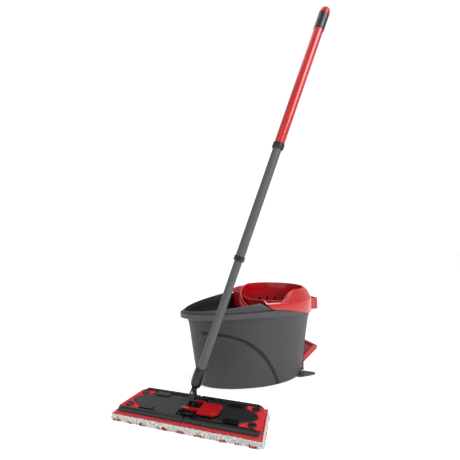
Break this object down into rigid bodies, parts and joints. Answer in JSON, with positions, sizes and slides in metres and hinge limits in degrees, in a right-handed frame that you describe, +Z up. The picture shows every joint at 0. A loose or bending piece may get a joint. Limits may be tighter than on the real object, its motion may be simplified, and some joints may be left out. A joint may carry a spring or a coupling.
{
  "type": "spin mop and bucket",
  "caption": "Egg-shaped mop bucket with a pedal-driven spin wringer, hood and carry handle, beside a folding flat mop on a telescopic handle.",
  "frame": {"origin": "the point on the floor under the wringer's spin axis, in the base cover's flat underside", "axes": "+Z up along the spin axis, +X along the bucket towards the pedal, +Y to the bucket's far side from the mop"},
  "size_m": [0.6714, 0.4842, 1.092],
  "materials": {
    "grey_plastic": "moulded, satin",
    "charcoal_plastic": "moulded, satin",
    "red_plastic": "moulded, glossy",
    "black_plastic": "moulded, glossy",
    "white_plastic": "natural nylon",
    "steel": "drawn wire and pins",
    "painted_tube": "grey coat with fine speckle",
    "rubber": "moulded",
    "backing": "knitted backing",
    "pile": "looped microfibre"
  },
  "bodies": {
    "bucket": {"bucket_shell": "grey_plastic", "base_cover": "charcoal_plastic", "base_screw_1": "steel", "base_screw_2": "steel", "base_screw_3": "steel", "base_screw_4": "steel", "rubber_foot_1": "rubber", "rubber_foot_2": "rubber", "rubber_foot_3": "rubber", "rubber_foot_4": "rubber", "pedal_axle": "steel", "gear_axle": "steel", "lower_bush": "white_plastic", "upper_bush": "white_plastic", "splash_guard": "red_plastic", "pedal_spring": "steel"},
    "pedal": {"foot_pedal": "red_plastic"},
    "rack": {"drive_rack": "white_plastic"},
    "compound_gear": {"step_up_gear": "white_plastic"},
    "clutch": {"clutch_gear": "white_plastic"},
    "spinner": {"spin_shaft": "steel", "clutch_spring": "steel", "spin_basket": "red_plastic", "hub_cap": "charcoal_plastic"},
    "bail": {"carry_handle": "black_plastic"},
    "mop": {"mop_hub": "black_plastic", "left_hinge_pin": "steel", "right_hinge_pin": "steel", "lever_pin": "steel", "tilt_pin": "steel", "lever_spring": "steel"},
    "left_half": {"left_wing": "charcoal_plastic", "pad_left": "pile", "corner_flap_3": "backing", "corner_flap_4": "backing", "press_stud_3": "black_plastic", "press_stud_4": "black_plastic"},
    "right_half": {"right_wing": "charcoal_plastic", "pad_right": "pile", "corner_flap_1": "backing", "corner_flap_2": "backing", "press_stud_1": "black_plastic", "press_stud_2": "black_plastic"},
    "lever": {"release_lever": "red_plastic"},
    "yoke": {"joint_yoke": "black_plastic", "swing_pin": "steel"},
    "lower_handle": {"handle_socket": "black_plastic", "socket_clip": "grey_plastic", "lower_tube": "painted_tube", "lower_guide": "black_plastic"},
    "middle_handle": {"middle_tube": "painted_tube", "lower_collar": "black_plastic", "middle_guide": "black_plastic"},
    "upper_handle": {"upper_tube": "red_plastic", "upper_collar": "black_plastic", "grip_band": "black_plastic", "end_cap": "red_plastic"}
  },
  "joints": [
    {"name": "pedal_press", "type": "hinge", "parent": "bucket", "child": "pedal", "pos_m": [0.084, 0, 0.022], "axis": [0, 1, 0], "range_deg": [0, 30], "stiffness_Nm_per_rad": 0.9, "springref_deg": -28.65, "deforming": ["pedal_spring"]},
    {"name": "rack_slide", "type": "slide", "parent": "bucket", "child": "rack", "axis": [1, 0, 0], "range_m": [-0.0002, 0.0148]},
    {"name": "compound_turn", "type": "hinge", "parent": "bucket", "child": "compound_gear", "pos_m": [0, 0.0375, 0], "axis": [0, 0, 1], "range_deg": [-1, 95]},
    {"name": "clutch_turn", "type": "hinge", "parent": "bucket", "child": "clutch", "pos_m": [0, 0, 0], "axis": [0, 0, 1], "range_deg": [-380, 4]},
    {"name": "basket_spin", "type": "hinge", "parent": "bucket", "child": "spinner", "pos_m": [0, 0, 0], "axis": [0, 0, 1], "continuous": true},
    {"name": "bail_raise", "type": "hinge", "parent": "bucket", "child": "bail", "pos_m": [-0.062, 0, 0.226], "axis": [0, 1, 0], "range_deg": [0, 95]},
    {"name": "mop_lift", "type": "slide", "parent": "bucket", "child": "mop", "axis": [0, 0, 1], "range_m": [0, 0.35]},
    {"name": "right_half_fold", "type": "hinge", "parent": "mop", "child": "right_half", "pos_m": [-0.30288, -0.18787, 0.022], "axis": [0.6184, 0.7859, 0], "range_deg": [0, 75]},
    {"name": "left_half_fold", "type": "hinge", "parent": "mop", "child": "left_half", "pos_m": [-0.33432, -0.16313, 0.022], "axis": [0.6184, 0.7859, 0], "range_deg": [-76, 1]},
    {"name": "lever_press", "type": "hinge", "parent": "mop", "child": "lever", "pos_m": [-0.33275, -0.16437, 0.0315], "axis": [0.6184, 0.7859, 0], "range_deg": [0, 2.5], "stiffness_Nm_per_rad": 2.5, "springref_deg": -3.44, "deforming": ["lever_spring"]},
    {"name": "handle_tilt", "type": "hinge", "parent": "mop", "child": "yoke", "pos_m": [-0.3186, -0.1755, 0.042], "axis": [0.7859, -0.6184, 0], "range_deg": [-10, 80]},
    {"name": "handle_swing", "type": "hinge", "parent": "yoke", "child": "lower_handle", "pos_m": [-0.31679, -0.1732, 0.06178], "axis": [0.6118, 0.7774, -0.1461], "range_deg": [-77.6, 42.3]},
    {"name": "middle_slide", "type": "slide", "parent": "lower_handle", "child": "middle_handle", "axis": [0.3246, -0.0783, 0.9426], "range_m": [-0.27, 0]},
    {"name": "upper_slide", "type": "slide", "parent": "middle_handle", "child": "upper_handle", "axis": [0.3246, -0.0783, 0.9426], "range_m": [-0.28, 0]}
  ],
  "couplings": [
    {"joint": "rack_slide", "follows": "pedal_press", "m_per_rad": 0.027681},
    {"joint": "compound_turn", "follows": "pedal_press", "ratio": 3.0757},
    {"joint": "clutch_turn", "follows": "pedal_press", "ratio": -12.303},
    {"joint": "left_half_fold", "follows": "right_half_fold", "ratio": -1}
  ]
}
